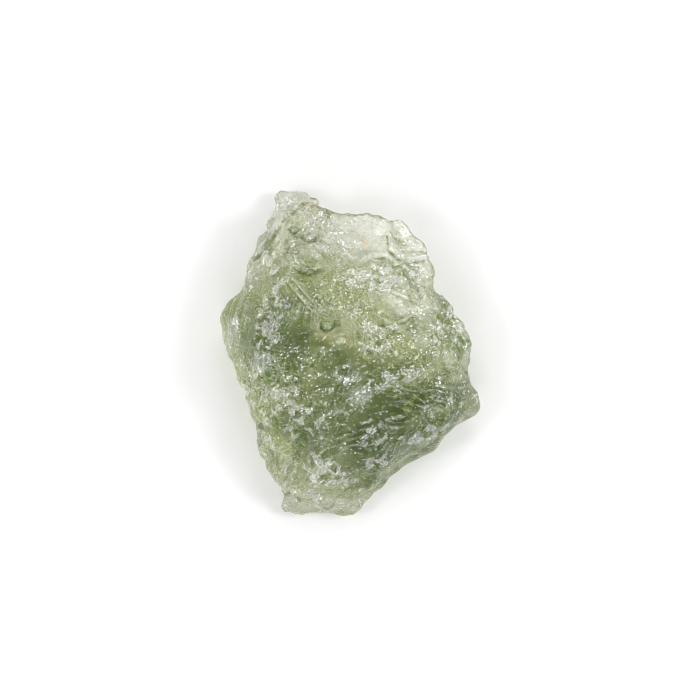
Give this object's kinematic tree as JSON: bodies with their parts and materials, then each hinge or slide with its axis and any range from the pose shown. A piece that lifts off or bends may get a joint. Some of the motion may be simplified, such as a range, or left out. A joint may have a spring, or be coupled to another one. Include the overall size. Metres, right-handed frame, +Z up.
{
  "type": "moldavite",
  "caption": "Rough natural moldavite: a wedge-edged lump of green impact glass with etched pits, shell-shaped hollows and ridges, resting on a small flat spot.",
  "frame": {"origin": "on the surface the stone rests on, under the middle of its plan", "axes": "+Z up from the resting spot; +Y along the stone's length, towards its thin pale end; +X to the right, towards its pointed corner"},
  "size_m": [0.0196, 0.0246, 0.009],
  "materials": {
    "moldavite_glass": "natural etched"
  },
  "bodies": {
    "root": {"moldavite": "moldavite_glass"}
  },
  "joints": []
}
